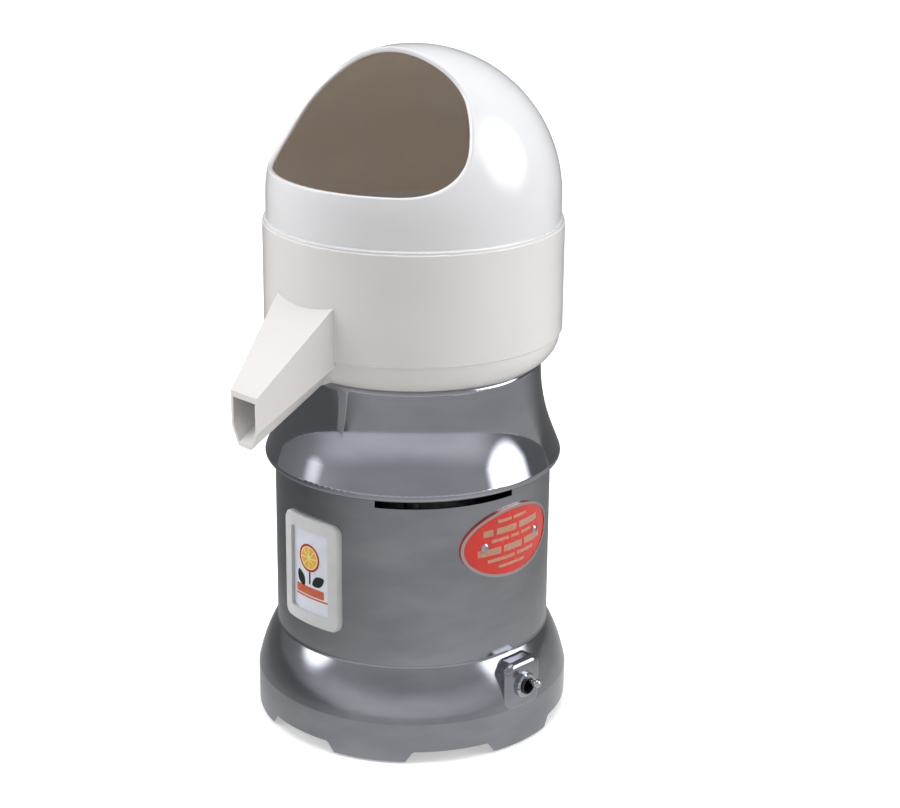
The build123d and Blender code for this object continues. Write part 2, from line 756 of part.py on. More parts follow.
def spout_section(distance, levels, half_width, gutter_half):
    top, side_foot, floor = levels
    right = [(half_width, top), (half_width, side_foot), (gutter_half, floor)]
    outline = right + [(-x, z) for x, z in reversed(right)]
    return make_face(Polyline([(x, -distance, z) for x, z in outline], close=True))


def spout_solid():
    root = (root_levels, root_half_width, root_gutter_half)
    mouth = spout_section(spout_reach, mouth_levels, mouth_half_width, mouth_gutter_half)
    horn = loft([spout_section(root_distance, *root), mouth], ruled=True)
    neck = [spout_section(distance, *root) for distance in (root_distance - 9, root_distance)]
    return horn + loft(neck, ruled=True)


def spout_channel():
    past = 3.0
    run = spout_reach - root_distance

    def beyond(root, mouth):
        return mouth + (mouth - root) * past / run

    floor = bowl_bottom + bowl_floor
    root_level = (bowl_bottom + channel_root_rise, root_levels[1] + 3, floor)
    mouth_level = (mouth_levels[0] - spout_top_wall, mouth_levels[1] + 1.2, mouth_levels[2] + spout_floor_wall)
    root_half = root_half_width - spout_side_wall
    mouth_half = mouth_half_width - spout_side_wall
    root_gutter = root_gutter_half - spout_side_wall / 2
    mouth_gutter = mouth_gutter_half - spout_side_wall / 2
    levels = [beyond(root, mouth) for root, mouth in zip(root_level, mouth_level)]
    root = (root_level, root_half, root_gutter)
    mouth = spout_section(spout_reach + past, levels, beyond(root_half, mouth_half), beyond(root_gutter, mouth_gutter))
    horn = loft([spout_section(root_distance, *root), mouth], ruled=True)
    neck = [spout_section(distance, *root) for distance in (root_distance - 18, root_distance)]
    return horn + loft(neck, ruled=True)


def juice_bowl():
    body = bowl_solid(0, bowl_bottom, bowl_top, crease_depth)
    body = fillet(body.edges().group_by(Axis.Z)[-1], 1.0)
    body -= bowl_solid(bowl_wall, bowl_bottom + bowl_floor, bowl_top + 1, 0)
    body -= spout_channel()
    body -= place(pin_offset, 0) * post(pin_well_bore, bowl_bottom - 1, bowl_bottom + bowl_floor + 1)
    return body - post(collar_radius + 0.3, bowl_bottom - 1, bowl_bottom + bowl_floor + 1)


def juice_spout():
    return spout_solid() - spout_channel() - bowl_solid(0, bowl_bottom, bowl_top, crease_depth)


def bowl_centre():
    """The tube, its shoulder and the drive pin's well, which stand on the bowl's floor."""
    low = bowl_bottom + bowl_floor
    body = post(shoulder_radius, low, shoulder_height) + post(tube_radius, low, tube_top)
    body += place(pin_offset, 0) * post(pin_well_bore + 2.5, low, pin_well_top)
    body -= place(pin_offset, 0) * post(pin_well_bore, low - 1, pin_well_top + 1)
    body -= post(tube_bore, low - 1, tube_top + 1)
    return body - post(collar_radius + 0.3, low - 1, deck_height + collar_height + 0.5)


# ---- strainer ----
def strainer_frame():
    body = ring(hub_outer, tube_radius + 1, strainer_low, screen_low)
    body += ring(strainer_radius, strainer_inner, strainer_ring_low, strainer_top)
    body += ring(strainer_inner + 1, strainer_inner - 3, strainer_ring_low, screen_low)
    for azimuth in spread(spoke_count):
        body += block(tube_radius + 2, strainer_radius - 2, spoke_width, strainer_ring_low, screen_low, azimuth)
    near, far = pin_offset - drive_block_half, pin_offset + drive_block_half
    body += block(near, far, drive_block_width, strainer_ring_low, drive_block_top, 0)
    body -= post(tube_radius + running_gap, strainer_low - 1, screen_low + 1)
    half = pin_radius + slide_gap
    slot = extrude(SlotOverall(2 * half + 1.5, 2 * half, rotation=90), drive_block_top - strainer_ring_low - 1)
    return body - Pos(0, -pin_offset, strainer_ring_low - 1) * slot


def strainer_screen():
    high = screen_low + screen_thickness
    body = ring(strainer_inner, tube_radius + 1.5, screen_low, high)
    near, far = pin_offset - drive_block_half - slide_gap, pin_offset + drive_block_half + slide_gap
    cutters = [block(near, far, drive_block_width + 2 * slide_gap, screen_low - 1, high + 1, 0)]
    rows = (hub_outer + 8, far + 6, strainer_inner - 11)
    for row, radius in enumerate(rows):
        start, end = radius - slot_length / 2, radius + slot_length / 2
        for azimuth in spread(slots_per_row, 5 * (row % 2) + 5):
            aside = abs(radius * sin(radians(azimuth))) > drive_block_width / 2 + 2 or cos(radians(azimuth)) < 0
            if aside or end < near - 1 or start > far + 0.4:
                cutters.append(block(start, end, slot_width, screen_low - 1, high + 1, azimuth))
    return body - cutters


# ---- slinger and reamer ----
def slinger():
    body = post(slinger_radius, slinger_low, slinger_top)
    body = chamfer(body.edges().group_by(Axis.Z)[-1], 1.5)
    return body - double_d(shaft_flat + running_gap, shaft_radius + running_gap, slinger_low - 1, slinger_top + 1)


def reamer_profile(base_radius, top):
    low = reamer_low + 4
    middle = (0.68 * base_radius, low + 0.52 * (top - low))
    outline = Polyline((0, top), (0, low), (base_radius, low))
    outline += Spline((base_radius, low), middle, (0, top), tangents=[(-0.15, 1), (-1, 0.35)])
    return Plane.XZ * make_face(outline)


def reamer_bulb():
    core = revolve(reamer_profile(reamer_radius - 1 - rib_stand, reamer_top - rib_stand), Axis.Z)
    body = core + post(reamer_radius, reamer_low, reamer_low + 4.2)
    rib = extrude(reamer_profile(reamer_radius - 1, reamer_top), rib_width / 2, both=True)
    for azimuth in spread(rib_count):
        body += Rot(0, 0, azimuth) * rib
    body -= post(insert_radius, reamer_low - 1, insert_low + insert_height)
    return body


def reamer_insert():
    body = post(insert_radius, insert_low, insert_low + insert_height)
    body -= double_d(shaft_flat + hole_gap, shaft_radius + hole_gap, insert_low - 1, shaft_top + 1)
    return body


# ---- hood ----
def hood_solid(radius, low):
    centre = bowl_top + hood_rise
    outline = Polyline((0, centre + radius), (0, low), (radius, low), (radius, centre))
    outline += ThreePointArc((radius, centre), (radius * sqrt(0.5), centre + radius * sqrt(0.5)), (0, centre + radius))
    return lathe(outline)


def hood_opening():
    """The front of the dome, cut away straight across from side to side."""
    lip = bowl_top + lip_rise
    far = hood_radius + 60
    top = bowl_top + hood_rise + hood_radius + 60
    corner, corner_radius = lip_corner
    edge, edge_height = back_edge
    outline = FilletPolyline((-far, lip), (-corner, lip), (-edge, bowl_top + edge_height), (-edge, top),
                             radius=[corner_radius, back_round])
    outline += Polyline((-edge, top), (-far, top), (-far, lip))
    return extrude(Plane.YZ * make_face(outline), far, both=True)


def hood():
    inner = hood_radius - hood_wall
    body = hood_solid(hood_radius, bowl_top)
    bead = post(bowl_radius - hood_bead_step, bowl_top, bowl_top + hood_bead_height)
    body += fillet(bead.edges().group_by(Axis.Z)[-1], 1.0)
    body += post(bowl_inner - hood_skirt_gap, bowl_top - hood_skirt, bowl_top)
    body -= hood_solid(inner, bowl_top - hood_skirt - 1)
    body -= hood_opening()
    rim = [edge for edge in body.edges() if edge.bounding_box().max.Z > bowl_top + lip_rise + 5]
    return fillet(rim, 1.3)


# ---- output ----
pieces = {
    "lower_housing": lower_housing,
    "upper_shroud": upper_shroud,
    "base_plate": base_plate,
    "base_plate_screws": base_plate_screws,
    "rubber_feet": rubber_feet,
    "motor_mount_plate": motor_mount_plate,
    "mount_plate_screws": mount_plate_screws,
    "tie_rods": tie_rods,
    "lever_pivot_post": lever_pivot_post,
    "bowl_seat_ring": bowl_seat_ring,
    "shaft_seal": shaft_seal,
    "badge_frame": badge_frame,
    "badge_panel": badge_panel,
    "data_plate": data_plate,
    "data_plate_screws": data_plate_screws,
    "switch_body": switch_body,
    "switch_nut": switch_nut,
    "switch_lever": switch_lever,
    "cord_inlet_bush": cord_inlet_bush,
    "terminal_block": terminal_block,
    "capacitor": capacitor,
    "capacitor_strap": capacitor_strap,
    "stator_core": stator_core,
    "stator_windings": stator_windings,
    "upper_end_bell": upper_bell,
    "lower_end_bell": lower_bell,
    "motor_bolts": motor_bolts,
    "motor_spacers": motor_spacers,
    "upper_bearing": upper_bearing,
    "lower_bearing": lower_bearing,
    "motor_shaft": motor_shaft,
    "rotor_core": rotor_core,
    "cooling_fan": cooling_fan,
    "drive_eccentric": drive_eccentric,
    "oscillator_lever": oscillator_lever,
    "lever_bush": lever_bush,
    "oscillator_pin": oscillator_pin,
    "juice_bowl": juice_bowl,
    "juice_spout": juice_spout,
    "bowl_centre": bowl_centre,
    "strainer_frame": strainer_frame,
    "strainer_screen": strainer_screen,
    "slinger": slinger,
    "reamer_bulb": reamer_bulb,
    "reamer_insert": reamer_insert,
    "hood": hood,
}

os.makedirs("parts", exist_ok=True)
swing = degrees(atan(pin_travel / pin_offset))
print("strainer swing each way", round(swing, 3), "pin travel", round(pin_travel, 3))
for name, make in pieces.items():
    piece = make()
    if isinstance(piece, list):
        piece = Compound(piece)
    export_step(piece, "parts/" + name + ".step")
    print(name, len(piece.solids()), "solids", round(piece.volume / 1000, 2), "cm3")
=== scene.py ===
import math
import bmesh
import bpy
from mathutils import Matrix, Vector


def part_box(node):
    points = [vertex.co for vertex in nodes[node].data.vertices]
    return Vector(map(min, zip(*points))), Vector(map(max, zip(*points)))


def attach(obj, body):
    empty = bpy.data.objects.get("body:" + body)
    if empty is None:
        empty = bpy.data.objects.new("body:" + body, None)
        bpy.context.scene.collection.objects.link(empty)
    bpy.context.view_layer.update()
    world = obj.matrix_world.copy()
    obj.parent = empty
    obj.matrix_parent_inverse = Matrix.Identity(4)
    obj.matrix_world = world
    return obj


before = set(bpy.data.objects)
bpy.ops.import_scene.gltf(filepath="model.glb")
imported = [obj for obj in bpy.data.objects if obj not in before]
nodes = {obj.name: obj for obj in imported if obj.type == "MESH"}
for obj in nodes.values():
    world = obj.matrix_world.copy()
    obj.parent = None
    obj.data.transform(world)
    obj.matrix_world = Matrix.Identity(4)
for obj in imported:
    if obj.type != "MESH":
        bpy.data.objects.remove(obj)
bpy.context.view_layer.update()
mm = 0.001
print("frame loaded,", len(nodes), "nodes")


def toLinear(hexColour):  # sRGB hex to the linear colour that shaders work in
    parts = [int(hexColour[i:i + 2], 16) / 255 for i in (1, 3, 5)]
    return [p / 12.92 if p <= 0.04045 else ((p + 0.055) / 1.055) ** 2.4 for p in parts] + [1.0]


def addNode(tree, kind, settings, links=None):
    node = tree.nodes.new(kind)
    for key, value in settings.items():
        if isinstance(key, str) and hasattr(node, key):
            setattr(node, key, value)
        else:
            node.inputs[key].default_value = value
    for key, socket in (links or {}).items():
        tree.links.new(socket, node.inputs[key])
    return node


def startMaterial(name, colour, roughness, metallic=0.0, sockets=None):
    material = bpy.data.materials.new(name)
    material.use_nodes = True
    shader = material.node_tree.nodes["Principled BSDF"]
    shader.inputs["Base Color"].default_value = toLinear(colour)
    shader.inputs["Roughness"].default_value = roughness
    shader.inputs["Metallic"].default_value = metallic
    for key, value in (sockets or {}).items():
        shader.inputs[key].default_value = value
    return material


def noiseField(tree, size, stretch, detail):
    # size in metres is how far apart the pattern's light and dark patches are
    place = addNode(tree, "ShaderNodeTexCoord", {})
    mapped = addNode(tree, "ShaderNodeMapping", {"Scale": stretch}, {"Vector": place.outputs["Object"]})
    noise = addNode(tree, "ShaderNodeTexNoise", {"Scale": 1 / size, "Detail": detail},
                    {"Vector": mapped.outputs[0]})
    return noise.outputs["Fac"]


def tint(material, colours, size, stretch=(1, 1, 1)):
    # two close colours drift into each other over the surface
    tree = material.node_tree
    spread = addNode(tree, "ShaderNodeMapRange", {"From Min": 0.35, "From Max": 0.65},
                     {"Value": noiseField(tree, size, stretch, 3.0)})
    mix = addNode(tree, "ShaderNodeMix",
                  {"data_type": "RGBA", 6: toLinear(colours[0]), 7: toLinear(colours[1])},
                  {0: spread.outputs[0]})
    tree.links.new(mix.outputs[2], tree.nodes["Principled BSDF"].inputs["Base Color"])


def unevenGloss(material, low, high, size, stretch=(1, 1, 1)):
    # roughness wanders between two close values, as handling and polishing leave it
    tree = material.node_tree
    spread = addNode(tree, "ShaderNodeMapRange",
                     {"From Min": 0.3, "From Max": 0.7, "To Min": low, "To Max": high},
                     {"Value": noiseField(tree, size, stretch, 4.0)})
    tree.links.new(spread.outputs[0], tree.nodes["Principled BSDF"].inputs["Roughness"])


def relief(material, layers):
    # each layer: pattern size, depth in metres, stretch
    tree = material.node_tree
    normal = None
    for size, depth, stretch in layers:
        links = {"Height": noiseField(tree, size, stretch, 2.0)}
        if normal:
            links["Normal"] = normal
        normal = addNode(tree, "ShaderNodeBump", {"Distance": depth, "Strength": 1.0}, links).outputs[0]
    tree.links.new(normal, tree.nodes["Principled BSDF"].inputs["Normal"])


def paintOver(material, colour, mask):
    # lays one colour over the material's own wherever the mask is one
    tree = material.node_tree
    base = tree.nodes["Principled BSDF"].inputs["Base Color"]
    mix = addNode(tree, "ShaderNodeMix", {"data_type": "RGBA", 7: toLinear(colour)},
                  {0: mask, 6: base.links[0].from_socket})
    tree.links.new(mix.outputs[2], base)


even = (1, 1, 1)
wallLines = {
    "around": (0.02, 0.02, 1.0),  # lines are stretched along the wall, fine from top to bottom
    "driftSize": 60 * mm, "driftStretch": (1, 1, 2.5),
    "glossSize": 14 * mm, "glossStretch": (0.35, 0.35, 3.0),
    "waveSize": 45 * mm, "waveDeeper": 3,
}


def roundWallMetal(name, colours, gloss, lineSize, lineDepth):
    material = startMaterial(name, colours[0], sum(gloss) / 2, 1.0)
    tint(material, colours, wallLines["driftSize"], wallLines["driftStretch"])
    unevenGloss(material, *gloss, wallLines["glossSize"], wallLines["glossStretch"])
    relief(material, [(lineSize, lineDepth, wallLines["around"]),
                      (wallLines["waveSize"], lineDepth * wallLines["waveDeeper"], even)])
    return material


# stainless sheet, spun and belt polished: long fine lines run round the wall and soften what it mirrors
polishedStainless = roundWallMetal("polishedStainless", ("#a2a5aa", "#94979d"), (0.13, 0.19),
                                   1.1 * mm, 0.004 * mm)
# cast shroud, buffed to a mirror: only faint buffing swirls are left
buffedChrome = roundWallMetal("buffedChrome", ("#b4b6bd", "#a9acb4"), (0.045, 0.075), 2.5 * mm, 0.002 * mm)

moulding = {
    "sockets": {"IOR": 1.53, "Coat Weight": 0.35, "Coat Roughness": 0.05},
    "driftSize": 80 * mm, "glossSize": 25 * mm, "glossSpread": (-0.03, 0.04),
    # slow sink marks over the walls, then the fine ripple of the tool's polish
    "ripples": [(30 * mm, 0.02 * mm, even), (1.6 * mm, 0.0006 * mm, even)],
}


def glossyWhite(name, colours, roughness):
    # injection-moulded ABS: high gloss with a barely rippled skin
    material = startMaterial(name, colours[0], roughness, 0.0, moulding["sockets"])
    tint(material, colours, moulding["driftSize"])
    unevenGloss(material, *(roughness + spread for spread in moulding["glossSpread"]), moulding["glossSize"])
    relief(material, moulding["ripples"])
    return material


bowlWhite = glossyWhite("glossyAbsBowl", ("#ece9e5", "#e8e4e0"), 0.2)
hoodWhite = glossyWhite("glossyAbsHood", ("#ededed", "#e8e8e9"), 0.15)

# painted shade: a warm tint on the hood's inner face, in place of the shade and bounced light inside the hollow
hoodInsideShade = {"colour": "#ecdfd1", "wall": 4 * mm, "fade": (0.15 * mm, 0.5 * mm)}


def paintInsideShade(material, node, settings):
    # painted shade: the moulding's inner face is tinted warmer and a touch duller in colour than the polished
    # outside, standing in for the shaded hollow and the warm light bounced around inside it
    tree = material.node_tree
    low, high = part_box(node)
    radius = (high.x - low.x) / 2
    inner = radius - settings["wall"]
    place = addNode(tree, "ShaderNodeTexCoord", {})
    moved = addNode(tree, "ShaderNodeVectorMath", {"operation": "ADD", 1: (0, 0, radius - high.z)},
                    {0: place.outputs["Object"]})
    far = addNode(tree, "ShaderNodeVectorMath", {"operation": "LENGTH"}, {0: moved.outputs[0]})
    inside = addNode(tree, "ShaderNodeMapRange",
                     {"From Min": inner + settings["fade"][0], "From Max": inner + settings["fade"][1],
                      "To Min": 1.0, "To Max": 0.0}, {"Value": far.outputs["Value"]})
    paintOver(material, settings["colour"], inside.outputs[0])


paintInsideShade(hoodWhite, "hood", hoodInsideShade)

# pale grey ABS with a fine spark-eroded grain, semi-matt
badgePlastic = startMaterial("satinAbsBezel", "#cfcfce", 0.38, 0.0, {"IOR": 1.53})
tint(badgePlastic, ("#d2d2d1", "#c9c9c9"), 20 * mm)
relief(badgePlastic, [(0.7 * mm, 0.006 * mm, even)])

# varnished card behind the bezel, faintly blue
badgeCard = startMaterial("varnishedCard", "#dde1e9", 0.3, 0.0,
                          {"IOR": 1.5, "Coat Weight": 0.3, "Coat Roughness": 0.12})
tint(badgeCard, ("#dfe3ea", "#d6dae3"), 12 * mm)
relief(badgeCard, [(0.9 * mm, 0.002 * mm, even)])


def printedInk(name, colours):
    # screen-printed ink: thin, slightly uneven in tone, with a soft sheen
    material = startMaterial(name, colours[0], 0.35, 0.0, {"IOR": 1.5})
    tint(material, colours, 1.5 * mm)
    relief(material, [(0.6 * mm, 0.003 * mm, even)])
    return material


redInk = printedInk("redInk", ("#b5271c", "#a32117"))
yellowInk = printedInk("yellowInk", ("#e6b81c", "#d9a514"))
paleInk = printedInk("paleInk", ("#ead9a8", "#e3cf98"))
blackInk = printedInk("blackInk", ("#2a2026", "#1d161b"))
leafInk = printedInk("leafInk", ("#14261c", "#0e1d16"))
barInk = printedInk("orangeRedInk", ("#cf6a44", "#bf5634"))
wornInk = printedInk("wornSilverInk", ("#b3a58c", "#c07a5c"))

# vitreous enamel on a pressed plate: glassy, with small ripples
plateEnamel = startMaterial("redEnamel", "#e0261a", 0.18, 0.0,
                            {"IOR": 1.52, "Coat Weight": 0.5, "Coat Roughness": 0.08})
tint(plateEnamel, ("#e0261a", "#cf3322"), 9 * mm)
unevenGloss(plateEnamel, 0.14, 0.3, 6 * mm)
relief(plateEnamel, [(2.2 * mm, 0.004 * mm, even)])

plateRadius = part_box("data_plate")[1].x
plateRim = {"colour": "#b9bcb6", "depth": 0.3 * mm, "fade": 0.15 * mm}


def bareRim(material, settings):
    # the plate's raised rim stands further out than its face, and is rubbed back to bare metal
    tree = material.node_tree
    start = plateRadius - settings["depth"]
    place = addNode(tree, "ShaderNodeTexCoord", {})
    flat = addNode(tree, "ShaderNodeVectorMath", {"operation": "MULTIPLY", 1: (1, 1, 0)},
                   {0: place.outputs["Object"]})
    out = addNode(tree, "ShaderNodeVectorMath", {"operation": "LENGTH"}, {0: flat.outputs[0]})
    rim = addNode(tree, "ShaderNodeMapRange", {"From Min": start, "From Max": start + settings["fade"]},
                  {"Value": out.outputs["Value"]})
    paintOver(material, settings["colour"], rim.outputs[0])
    tree.links.new(rim.outputs[0], tree.nodes["Principled BSDF"].inputs["Metallic"])


bareRim(plateEnamel, plateRim)


def turnedMetal(name, colours, gloss, lineSize, stretch, depth):
    material = startMaterial(name, colours[0], sum(gloss) / 2, 1.0)
    tint(material, colours, 12 * mm)
    unevenGloss(material, *gloss, 5 * mm)
    relief(material, [(lineSize, depth, stretch)])
    return material


# nickel-chrome plate over brass: near mirror, slightly dulled in places
chromeTrim = turnedMetal("platedChrome", ("#c2c4c9", "#b3b5bb"), (0.05, 0.12), 1.2 * mm, even, 0.001 * mm)
# zinc plate, passivated: cool grey with a faint yellow-blue drift and a dull sparkle
zincPlate = turnedMetal("passivatedZinc", ("#a8aaa6", "#9d9f94"), (0.3, 0.48), 1.5 * mm, even, 0.003 * mm)
# ground bearing steel: fine lines round the axis
groundSteel = turnedMetal("groundSteel", ("#9c9da1", "#8e8f94"), (0.18, 0.28), 0.5 * mm,
                          (0.2, 0.2, 1), 0.003 * mm)
# electrical sheet stacked edge on: a dark line every half millimetre or so, drawn at 1.2 mm to show
stackedSheet = turnedMetal("stackedSheet", ("#5b5c60", "#3f4044"), (0.4, 0.6), 1.2 * mm,
                           (0.02, 0.02, 1), 0.05 * mm)
# sand-cast aluminium: pale, matt and grainy
castAluminium = turnedMetal("castAluminium", ("#a9aaab", "#979899"), (0.42, 0.6), 0.9 * mm, even, 0.04 * mm)
# drawn aluminium can, lines along its length
drawnCan = turnedMetal("drawnAluminium", ("#b2b4b6", "#a5a7aa"), (0.25, 0.35), 0.6 * mm,
                       (1, 0.05, 0.05), 0.01 * mm)
# oil-filled bronze: brown gold, open grained
oiledBronze = turnedMetal("oiledBronze", ("#a3763a", "#8b6230"), (0.28, 0.42), 0.5 * mm, even, 0.01 * mm)
# enamelled copper wire, wound round the bore: reddish brown with a ridge for each turn
woundCopper = turnedMetal("enamelledCopper", ("#9a4a22", "#7a3416"), (0.25, 0.4), 0.9 * mm,
                          (0.1, 0.1, 1), 0.2 * mm)
# perforated stainless screen, brushed one way
brushedScreen = turnedMetal("brushedStainless", ("#b0b1b3", "#a2a3a6"), (0.22, 0.34), 0.7 * mm,
                            (0.05, 1, 1), 0.008 * mm)


def dullPolymer(name, colours, gloss, grainSize, depth, sockets):
    material = startMaterial(name, colours[0], sum(gloss) / 2, 0.0, sockets)
    tint(material, colours, 10 * mm)
    unevenGloss(material, *gloss, 6 * mm)
    relief(material, [(grainSize, depth, even)])
    return material


# moulded natural rubber: near black, dusty where it is handled
feetRubber = dullPolymer("blackRubber", ("#1c1c1c", "#272625"), (0.6, 0.8), 0.9 * mm, 0.02 * mm,
                         {"IOR": 1.52})
# phenolic moulding: black with a dull gloss
blackPhenolic = dullPolymer("blackPhenolic", ("#141415", "#1d1d1e"), (0.28, 0.42), 0.8 * mm, 0.006 * mm,
                            {"IOR": 1.6})
# acetal strainer: off-white and waxy
waxyAcetal = dullPolymer("waxyAcetal", ("#dcdad2", "#d3d0c6"), (0.28, 0.36), 1.0 * mm, 0.003 * mm,
                         {"IOR": 1.48})
# reamer: same white ABS, a little scuffed by fruit
reamerWhite = dullPolymer("scuffedAbs", ("#e9e7e1", "#e0dcd2"), (0.22, 0.36), 1.3 * mm, 0.006 * mm,
                          {"IOR": 1.53})

finishes = [
    (polishedStainless, ["lower_housing"]),
    (buffedChrome, ["upper_shroud"]),
    (bowlWhite, ["juice_bowl", "juice_spout", "bowl_centre"]),
    (hoodWhite, ["hood"]),
    (reamerWhite, ["reamer_bulb"]),
    (badgePlastic, ["badge_frame"]),
    (badgeCard, ["badge_panel"]),
    (plateEnamel, ["data_plate"]),
    (chromeTrim, ["data_plate_screws", "switch_nut", "switch_lever"]),
    (zincPlate, ["base_plate", "base_plate_screws", "motor_mount_plate", "mount_plate_screws", "tie_rods",
                 "lever_pivot_post", "capacitor_strap", "motor_bolts", "motor_spacers"]),
    (groundSteel, ["upper_bearing", "lower_bearing", "motor_shaft", "drive_eccentric", "oscillator_lever",
                   "oscillator_pin"]),
    (stackedSheet, ["stator_core", "rotor_core"]),
    (castAluminium, ["upper_end_bell", "lower_end_bell", "cooling_fan"]),
    (drawnCan, ["capacitor"]),
    (oiledBronze, ["lever_bush", "reamer_insert"]),
    (woundCopper, ["stator_windings"]),
    (brushedScreen, ["strainer_screen"]),
    (feetRubber, ["rubber_feet", "bowl_seat_ring", "shaft_seal", "cord_inlet_bush"]),
    (blackPhenolic, ["switch_body", "terminal_block", "slinger"]),
    (waxyAcetal, ["strainer_frame"]),
]
for material, names in finishes:
    for name in names:
        nodes[name].data.materials.clear()
        nodes[name].data.materials.append(material)
print("finishes on CAD nodes")


def cutStrips(bm, step):
    # cross cuts, so that a flat mark can follow the wall's curve
    xs = [v.co.x for v in bm.verts]
    x = min(xs) + step
    while x < max(xs) - step / 4:
        bmesh.ops.bisect_plane(bm, geom=bm.verts[:] + bm.edges[:] + bm.faces[:], dist=1e-7,
                               plane_co=(x, 0, 0), plane_no=(1, 0, 0))
        x += step


def raiseFaces(bm, thickness):
    grown = bmesh.ops.extrude_face_region(bm, geom=bm.faces[:])
    tops = [g for g in grown["geom"] if isinstance(g, bmesh.types.BMVert)]
    bmesh.ops.translate(bm, verts=tops, vec=(0, 0, thickness))


def wrapOnWall(bm, radius, azimuth, sink=0.03 * mm):
    # x runs along the wall, y is the height, z stands out from the wall
    for v in bm.verts:
        angle = azimuth + v.co.x / radius
        out = radius - sink + v.co.z
        v.co = Vector((out * math.sin(angle), -out * math.cos(angle), v.co.y))


def finishPiece(name, bm, material, body):
    bmesh.ops.remove_doubles(bm, verts=bm.verts[:], dist=1e-7)
    bmesh.ops.recalc_face_normals(bm, faces=bm.faces[:])
    mesh = bpy.data.meshes.new(name)
    bm.to_mesh(mesh)
    bm.free()
    mesh.materials.append(material)
    piece = bpy.data.objects.new(name, mesh)
    bpy.context.collection.objects.link(piece)
    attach(piece, body)
    return piece


def addShape(target, build, centre, turn, thickness):
    # one flat shape, raised and put in place, joined to the target mesh
    bm = bmesh.new()
    build(bm)
    raiseFaces(bm, thickness)
    move = Matrix.Translation((*centre, 0)) @ Matrix.Rotation(turn, 4, "Z")
    bmesh.ops.transform(bm, matrix=move, verts=bm.verts[:])
    spare = bpy.data.meshes.new("spare")
    bm.to_mesh(spare)
    bm.free()
    target.from_mesh(spare)
    bpy.data.meshes.remove(spare)


roundSegments = 48


def disc(radius):
    return lambda bm: bmesh.ops.create_circle(bm, cap_ends=True, radius=radius, segments=roundSegments)


def hoop(outer, inner):
    def build(bm):
        bmesh.ops.create_circle(bm, cap_ends=True, radius=outer, segments=roundSegments)
        bmesh.ops.inset_region(bm, faces=bm.faces[:],
                               thickness=(outer - inner) * math.cos(math.pi / roundSegments))
        middle = max(bm.faces, key=lambda face: len(face.verts))
        bmesh.ops.delete(bm, geom=[middle], context="FACES")
    return build


def bar(length, height, corner):
    def build(bm):
        bmesh.ops.create_grid(bm, x_segments=1, y_segments=1, size=0.5)
        bmesh.ops.scale(bm, vec=(length, height, 1), verts=bm.verts[:])
        bmesh.ops.bevel(bm, geom=bm.verts[:], affect="VERTICES", offset=corner, segments=4,
                        profile=0.5, material=-1)
    return build


def wedge(inner, outer, halfAngle, corner):
    # a citrus segment: narrow at the middle of the fruit, rounded at its three corners
    def build(bm):
        bmesh.ops.create_circle(bm, cap_ends=True, radius=1.0, segments=3)
        for v in bm.verts:
            if v.co.y > 0.9:
                v.co = Vector((0, inner, 0))
            else:
                across = math.copysign(outer * math.sin(halfAngle), v.co.x)
                v.co = Vector((across, outer * math.cos(halfAngle), 0))
        bmesh.ops.bevel(bm, geom=bm.verts[:], affect="VERTICES", offset=corner, segments=4,
                        profile=0.5, material=-1)
    return build


def leaf(length, width):
    # an almond outline: a circle drawn out to a point at each end
    def build(bm):
        bmesh.ops.create_circle(bm, cap_ends=True, radius=1.0, segments=40)
        for v in bm.verts:
            v.co.y *= width / 2 * (1 - abs(v.co.x) ** 1.5) ** 0.3
            v.co.x *= length / 2
    return build


badge = {
    "cardRadius": -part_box("badge_panel")[0].y, "azimuth": 0.0, "strip": 2.0 * mm,
    "fruitCentre": (-1.0 * mm, 133.0 * mm), "fruitRadius": 10.6 * mm, "outline": 1.2 * mm,
    "rindRadius": 10.1 * mm, "pithRadius": 0.80 * 10.6 * mm,
    "segments": 8, "segmentEnds": (0.1, 0.74), "segmentFill": 0.43, "segmentCorner": 0.74 * 0.13,
    "stem": (1.5 * mm, 9 * mm), "stemCorner": 0.4 * mm, "stemPlace": (0.6 * mm, 0.5 * mm),
    "leafSize": (13 * mm, 7.4 * mm), "leafPlaces": ((-9.2, 116.5, 118), (7.6, 117.5, 32)),
    "bar": (27.5 * mm, 6.2 * mm, 1.2 * mm), "barCentre": (-0.8 * mm, 108.6 * mm),
    "line": (31 * mm, 1.3 * mm, 0.6 * mm), "lineShift": (1.5 * mm, -4.6 * mm),
    # inks printed later stand a little higher
    "ink": {"rind": 0.08 * mm, "pith": 0.11 * mm, "segment": 0.14 * mm, "outline": 0.15 * mm, "flat": 0.1 * mm},
}


def layMarks(name, shapes, material, radius, azimuth):
    bm = bmesh.new()
    for shape in shapes:
        addShape(bm, *shape)
    cutStrips(bm, badge["strip"])
    wrapOnWall(bm, radius, azimuth)
    return finishPiece(name, bm, material, "base")


def printOnBadge(name, shapes, material):
    layMarks(name, shapes, material, badge["cardRadius"], badge["azimuth"])


ink = badge["ink"]
fruit = badge["fruitCentre"]
fruitRadius = badge["fruitRadius"]
printOnBadge("fruitRind", [(disc(badge["rindRadius"]), fruit, 0, ink["rind"])], redInk)
printOnBadge("fruitPith", [(disc(badge["pithRadius"]), fruit, 0, ink["pith"])], paleInk)
turnStep = 2 * math.pi / badge["segments"]
inner, outer = (fruitRadius * part for part in badge["segmentEnds"])
segment = wedge(inner, outer, turnStep * badge["segmentFill"], fruitRadius * badge["segmentCorner"])
printOnBadge("fruitSegments", [(segment, fruit, turnStep * (i + 0.5), ink["segment"])
                               for i in range(badge["segments"])], yellowInk)
stemWidth, stemLength = badge["stem"]
stemCentre = (fruit[0] + badge["stemPlace"][0], fruit[1] - fruitRadius - stemLength / 2 + badge["stemPlace"][1])
printOnBadge("fruitOutline", [
    (hoop(fruitRadius, fruitRadius - badge["outline"]), fruit, 0, ink["outline"]),
    (bar(stemWidth, stemLength, badge["stemCorner"]), stemCentre, 0, ink["segment"])], blackInk)
